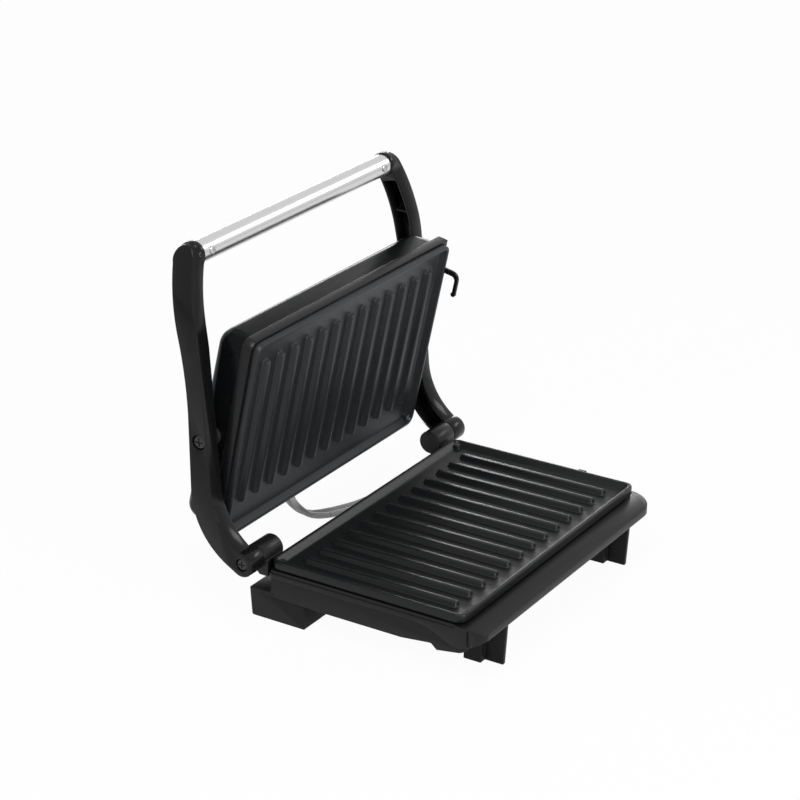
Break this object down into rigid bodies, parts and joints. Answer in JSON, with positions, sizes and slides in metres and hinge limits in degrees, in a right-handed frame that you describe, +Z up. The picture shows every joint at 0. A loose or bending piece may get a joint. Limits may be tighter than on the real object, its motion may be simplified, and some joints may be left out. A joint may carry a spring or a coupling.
{
  "type": "panini press",
  "caption": "Hinged contact grill with ribbed upper and lower plates, two swinging arms joined by a tubular handle, and a lid that floats between the arms.",
  "frame": {"origin": "centre of the object's footprint, at the table", "axes": "+Z up, +X from the left side to the right side, -Y towards the front ledge"},
  "size_m": [0.2674, 0.2355, 0.2538],
  "materials": {
    "base_plastic": "satin moulded body",
    "trim_plastic": "semi-gloss moulded trim",
    "cover_plastic": "gloss moulded cover",
    "arm_plastic": "gloss moulded arm",
    "latch_plastic": "gloss moulded hook",
    "plate_coating": "cast, with a dark non-stick coat, satin",
    "heater_steel": "steel sheath, dull",
    "reflector_sheet": "bright sheet",
    "ceramic": "glazed insulating body",
    "screw_steel": "plated",
    "soft_rubber": "matt",
    "lead_sleeve": "glossy sleeve",
    "handle_metal": "satin drawn tube",
    "bush_plastic": "self-lubricating bush",
    "power_lens": "clear red lens",
    "ready_lens": "clear green lens"
  },
  "bodies": {
    "base": {"base_shell": "base_plastic", "front_legs": "base_plastic", "rear_feet": "base_plastic", "base_trim": "trim_plastic", "bottom_cover": "base_plastic", "lower_plate": "plate_coating", "lower_heater": "heater_steel", "lower_reflector": "reflector_sheet", "lower_thermostat": "ceramic", "thermal_fuse": "ceramic", "terminal_block": "ceramic", "hinge_bracket_left": "trim_plastic", "hinge_bracket_right": "trim_plastic", "hinge_screws": "screw_steel", "rubber_feet": "soft_rubber", "base_screws": "screw_steel", "mains_gland": "soft_rubber", "lead_gland_base": "soft_rubber", "link_lead_lower": "lead_sleeve"},
    "arms": {"arm_left": "arm_plastic", "arm_right": "arm_plastic", "handle_tube": "handle_metal", "handle_screws": "screw_steel"},
    "lid": {"upper_plate": "plate_coating", "upper_bezel": "trim_plastic", "upper_cover": "cover_plastic", "upper_heater": "heater_steel", "upper_reflector": "reflector_sheet", "upper_thermostat": "ceramic", "upper_screws": "screw_steel", "pivot_bush_left": "bush_plastic", "pivot_bush_right": "bush_plastic", "pivot_screws": "screw_steel", "power_lamp": "power_lens", "ready_lamp": "ready_lens", "lead_gland_lid": "soft_rubber", "link_lead_upper": "lead_sleeve", "latch_pin": "screw_steel"},
    "latch": {"latch_hook": "latch_plastic"}
  },
  "joints": [
    {"name": "arm_hinge", "type": "hinge", "parent": "base", "child": "arms", "pos_m": [0, 0.05662, 0.0465], "axis": [1, 0, 0], "range_deg": [0, 96.7]},
    {"name": "lid_pivot", "type": "hinge", "parent": "arms", "child": "lid", "pos_m": [0, 0.08812, 0.12607], "axis": [1, 0, 0], "range_deg": [-19.3, 0]},
    {"name": "latch_pivot", "type": "hinge", "parent": "lid", "child": "latch", "pos_m": [0.119, 0.07141, 0.17511], "axis": [1, 0, 0], "range_deg": [-40, 8]}
  ],
  "couplings": [
    {"joint": "lid_pivot", "follows": "arm_hinge", "ratio": -0.19855}
  ]
}
